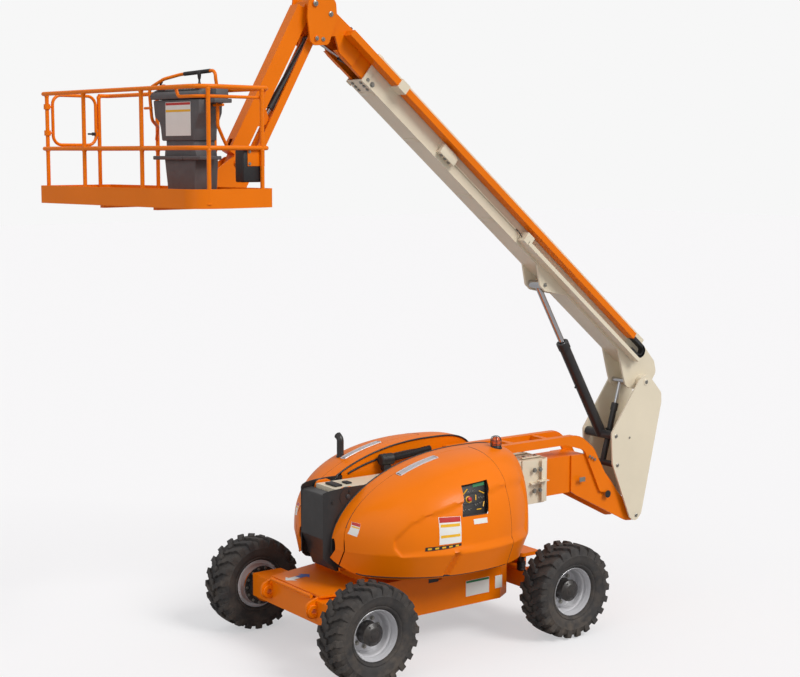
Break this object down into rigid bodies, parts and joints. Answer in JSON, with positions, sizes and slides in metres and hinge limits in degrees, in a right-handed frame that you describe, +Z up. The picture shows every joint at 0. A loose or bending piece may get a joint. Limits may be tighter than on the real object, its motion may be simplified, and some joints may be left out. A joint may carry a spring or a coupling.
{
  "type": "articulating boom lift",
  "caption": "Self-propelled articulating boom lift: wheeled chassis, swinging turntable with hoods, tower boom, upright, telescoping main boom, jib and railed work platform.",
  "frame": {"origin": "bottom centre of the bounding box, on the ground under the tyres", "axes": "+X along the chassis from the drive axle towards the steer axle (the boom reaches back towards -X), +Y across the chassis, +Z up"},
  "size_m": [6.9446, 2.5552, 6.5194],
  "materials": {
    "amber_lens": "clear gloss",
    "black_paint": "satin paint",
    "black_rubber": "matt",
    "chrome_rod": "polished",
    "cream_paint": "satin paint",
    "engine_iron": "painted",
    "grey_plastic": "textured",
    "orange_paint": "gloss paint, lightly dusted",
    "silver_paint": "satin paint, scuffed",
    "tyre_rubber": "matt, worn"
  },
  "bodies": {
    "chassis": {"chassis_frame": "orange_paint", "drive_axle": "orange_paint", "steer_axle": "orange_paint", "steer_cylinder": "black_paint", "lockout_cylinder_left": "black_paint", "lockout_cylinder_right": "black_paint", "swing_bearing": "black_paint"},
    "drive_left": {"drive_tyre_left": "tyre_rubber", "drive_wheel_left": "silver_paint"},
    "drive_right": {"drive_tyre_right": "tyre_rubber", "drive_wheel_right": "silver_paint"},
    "knuckle_left": {"steer_knuckle_left": "orange_paint"},
    "knuckle_right": {"steer_knuckle_right": "orange_paint"},
    "steer_left": {"steer_tyre_left": "tyre_rubber", "steer_wheel_left": "silver_paint"},
    "steer_right": {"steer_tyre_right": "tyre_rubber", "steer_wheel_right": "silver_paint"},
    "tie_rod": {"tie_rod": "orange_paint"},
    "turntable": {"turntable_frame": "orange_paint", "counterweight": "black_paint", "engine": "engine_iron", "hydraulic_tank": "black_paint", "ground_controls": "black_paint", "beacon": "amber_lens", "hood_cover_left": "orange_paint", "hood_cover_right": "orange_paint"},
    "hood_left": {"hood_door_left": "orange_paint", "exhaust_stub": "black_paint"},
    "hood_right": {"hood_door_right": "orange_paint"},
    "tower_base": {"tower_base_boom": "cream_paint"},
    "tower_fly": {"tower_fly_boom": "orange_paint", "tower_gooseneck": "orange_paint"},
    "tower_lift_barrel": {"tower_lift_barrel": "black_paint"},
    "tower_lift_rod": {"tower_lift_rod": "chrome_rod"},
    "upright": {"upright": "cream_paint"},
    "main_boom": {"main_base_boom": "cream_paint", "cable_tray": "cream_paint"},
    "main_fly": {"main_fly_boom": "orange_paint", "hose_track_tube": "orange_paint"},
    "hose_track": {"hose_track_bend": "black_rubber"},
    "main_lift_rod": {"main_lift_rod": "chrome_rod"},
    "main_lift_barrel": {"main_lift_barrel": "black_paint"},
    "master_barrel": {"master_barrel": "black_paint"},
    "master_rod": {"master_rod": "chrome_rod"},
    "jib_bracket": {"jib_bracket": "orange_paint"},
    "slave_rod": {"slave_rod": "chrome_rod"},
    "slave_barrel": {"slave_barrel": "black_paint"},
    "jib_arm": {"jib_arm": "orange_paint"},
    "jib_link": {"jib_link": "orange_paint"},
    "jib_lift_barrel": {"jib_lift_barrel": "black_paint"},
    "jib_lift_rod": {"jib_lift_rod": "chrome_rod"},
    "jib_head": {"jib_head": "orange_paint"},
    "platform": {"platform_floor": "orange_paint", "platform_rails": "orange_paint", "platform_console": "grey_plastic"},
    "gate": {"platform_gate": "orange_paint"}
  },
  "joints": [
    {"name": "swing", "type": "hinge", "parent": "chassis", "child": "turntable", "pos_m": [0.0128, 0.0326, 0.802], "axis": [0, 0, 1], "continuous": true},
    {"name": "drive_spin_left", "type": "hinge", "parent": "chassis", "child": "drive_left", "pos_m": [-1.2272, 1.1001, 0.489], "axis": [0, 1, 0], "continuous": true},
    {"name": "drive_spin_right", "type": "hinge", "parent": "chassis", "child": "drive_right", "pos_m": [-1.2272, -1.0349, 0.489], "axis": [0, 1, 0], "continuous": true},
    {"name": "steer", "type": "hinge", "parent": "chassis", "child": "knuckle_left", "pos_m": [1.2528, 0.7676, 0.489], "axis": [0, 0, 1], "range_deg": [-35, 35]},
    {"name": "steer_right", "type": "hinge", "parent": "chassis", "child": "knuckle_right", "pos_m": [1.2528, -0.7024, 0.489], "axis": [0, 0, 1], "range_deg": [-35, 35]},
    {"name": "tie_rod_slide", "type": "slide", "parent": "chassis", "child": "tie_rod", "axis": [0, 1, 0], "range_m": [-0.1015, 0.1015]},
    {"name": "steer_spin_left", "type": "hinge", "parent": "knuckle_left", "child": "steer_left", "pos_m": [1.2528, 1.1001, 0.489], "axis": [0, 1, 0], "continuous": true},
    {"name": "steer_spin_right", "type": "hinge", "parent": "knuckle_right", "child": "steer_right", "pos_m": [1.2528, -1.0349, 0.489], "axis": [0, 1, 0], "continuous": true},
    {"name": "hood_left", "type": "hinge", "parent": "turntable", "child": "hood_left", "pos_m": [0.0128, 0.4626, 1.974], "axis": [1, 0, 0], "range_deg": [0, 55]},
    {"name": "hood_right", "type": "hinge", "parent": "turntable", "child": "hood_right", "pos_m": [0.0128, -0.3974, 1.974], "axis": [-1, 0, 0], "range_deg": [0, 55]},
    {"name": "tower_lift", "type": "hinge", "parent": "turntable", "child": "tower_base", "pos_m": [-0.9072, 0.0326, 1.6], "axis": [0, -1, 0], "range_deg": [0, 72]},
    {"name": "tower_extend", "type": "slide", "parent": "tower_base", "child": "tower_fly", "axis": [1, 0, 0], "range_m": [0, 1.6]},
    {"name": "tower_barrel_turn", "type": "hinge", "parent": "turntable", "child": "tower_lift_barrel", "pos_m": [-0.4972, 0.0326, 0.96], "axis": [0, -1, 0], "range_deg": [0, 66.74]},
    {"name": "tower_rod_stroke", "type": "slide", "parent": "tower_lift_barrel", "child": "tower_lift_rod", "axis": [0.989, 0, 0.1479], "range_m": [0, 0.8879]},
    {"name": "upright_level", "type": "hinge", "parent": "tower_fly", "child": "upright", "pos_m": [3.0978, 0.0326, 0.849], "axis": [0, -1, 0], "range_deg": [-72, 0]},
    {"name": "main_lift", "type": "hinge", "parent": "upright", "child": "main_boom", "pos_m": [3.2178, 0.0326, 2.381], "axis": [0, 1, 0], "range_deg": [-47.7, 32.3]},
    {"name": "main_extend", "type": "slide", "parent": "main_boom", "child": "main_fly", "axis": [-0.7694, 0, 0.6388], "range_m": [0, 3.6]},
    {"name": "hose_track_travel", "type": "slide", "parent": "main_boom", "child": "hose_track", "axis": [-0.7694, 0, 0.6388], "range_m": [0, 1.8]},
    {"name": "main_rod_turn", "type": "hinge", "parent": "main_boom", "child": "main_lift_rod", "pos_m": [1.7632, 0.0326, 3.5549], "axis": [0, 1, 0], "range_deg": [-3.08, 4.5]},
    {"name": "main_rod_stroke", "type": "slide", "parent": "main_lift_rod", "child": "main_lift_barrel", "axis": [0.4941, 0, -0.8694], "range_m": [-0.5764, 0.391]},
    {"name": "master_barrel_turn", "type": "hinge", "parent": "upright", "child": "master_barrel", "pos_m": [2.7888, 0.0326, 1.466], "axis": [0, 1, 0], "range_deg": [-2.18, 3.18]},
    {"name": "master_rod_stroke", "type": "slide", "parent": "master_barrel", "child": "master_rod", "axis": [0.2654, 0, 0.9641], "range_m": [-0.1354, 0.0923]},
    {"name": "jib_level", "type": "hinge", "parent": "main_fly", "child": "jib_bracket", "pos_m": [-1.0152, 0.0326, 6.286], "axis": [0, 1, 0], "range_deg": [-32.3, 47.7]},
    {"name": "slave_rod_turn", "type": "hinge", "parent": "jib_bracket", "child": "slave_rod", "pos_m": [-1.1042, 0.0326, 6.046], "axis": [0, 1, 0], "range_deg": [-47.61, 32.27]},
    {"name": "slave_rod_stroke", "type": "slide", "parent": "slave_rod", "child": "slave_barrel", "axis": [0.8898, 0, -0.4563], "range_m": [-0.1334, 0.196]},
    {"name": "jib_lift", "type": "hinge", "parent": "jib_bracket", "child": "jib_arm", "pos_m": [-1.1962, 0.0326, 6.376], "axis": [0, 1, 0], "range_deg": [0, 130]},
    {"name": "jib_link_turn", "type": "hinge", "parent": "jib_bracket", "child": "jib_link", "pos_m": [-1.1822, 0.0326, 6.05], "axis": [0, 1, 0], "range_deg": [0, 130]},
    {"name": "jib_barrel_turn", "type": "hinge", "parent": "jib_bracket", "child": "jib_lift_barrel", "pos_m": [-1.1822, 0.0326, 6.05], "axis": [0, 1, 0], "range_deg": [0, 126.4]},
    {"name": "jib_rod_stroke", "type": "slide", "parent": "jib_lift_barrel", "child": "jib_lift_rod", "axis": [-0.5501, 0, -0.8351], "range_m": [0, 0.5965]},
    {"name": "head_level", "type": "hinge", "parent": "jib_arm", "child": "jib_head", "pos_m": [-2.0302, 0.0326, 4.872], "axis": [0, 1, 0], "range_deg": [-130, 0]},
    {"name": "platform_rotate", "type": "hinge", "parent": "jib_head", "child": "platform", "pos_m": [-2.3622, 0.0476, 4.7], "axis": [0, 0, 1], "range_deg": [-98.65, 81.35]},
    {"name": "gate", "type": "hinge", "parent": "platform", "child": "gate", "pos_m": [-3.3884, 1.11, 5.265], "axis": [0, 0, 1], "range_deg": [-90, 0]}
  ],
  "couplings": [
    {"joint": "steer_right", "follows": "steer", "ratio": 1},
    {"joint": "tie_rod_slide", "follows": "steer", "m_per_rad": 0.165},
    {"joint": "tower_barrel_turn", "follows": "tower_lift", "ratio": 0.92},
    {"joint": "tower_rod_stroke", "follows": "tower_lift", "m_per_rad": 0.705},
    {"joint": "upright_level", "follows": "tower_lift", "ratio": -1},
    {"joint": "hose_track_travel", "follows": "main_extend", "ratio": 0.5},
    {"joint": "main_rod_turn", "follows": "main_lift", "ratio": -0.0923},
    {"joint": "main_rod_stroke", "follows": "main_lift", "m_per_rad": 0.69},
    {"joint": "master_barrel_turn", "follows": "main_lift", "ratio": -0.0645},
    {"joint": "master_rod_stroke", "follows": "main_lift", "m_per_rad": 0.1602},
    {"joint": "jib_level", "follows": "main_lift", "ratio": -1},
    {"joint": "slave_rod_turn", "follows": "main_lift", "ratio": 0.996},
    {"joint": "slave_rod_stroke", "follows": "main_lift", "m_per_rad": -0.233},
    {"joint": "jib_link_turn", "follows": "jib_lift", "ratio": 1},
    {"joint": "jib_barrel_turn", "follows": "jib_lift", "ratio": 0.97},
    {"joint": "jib_rod_stroke", "follows": "jib_lift", "m_per_rad": 0.262},
    {"joint": "head_level", "follows": "jib_lift", "ratio": -1}
  ]
}
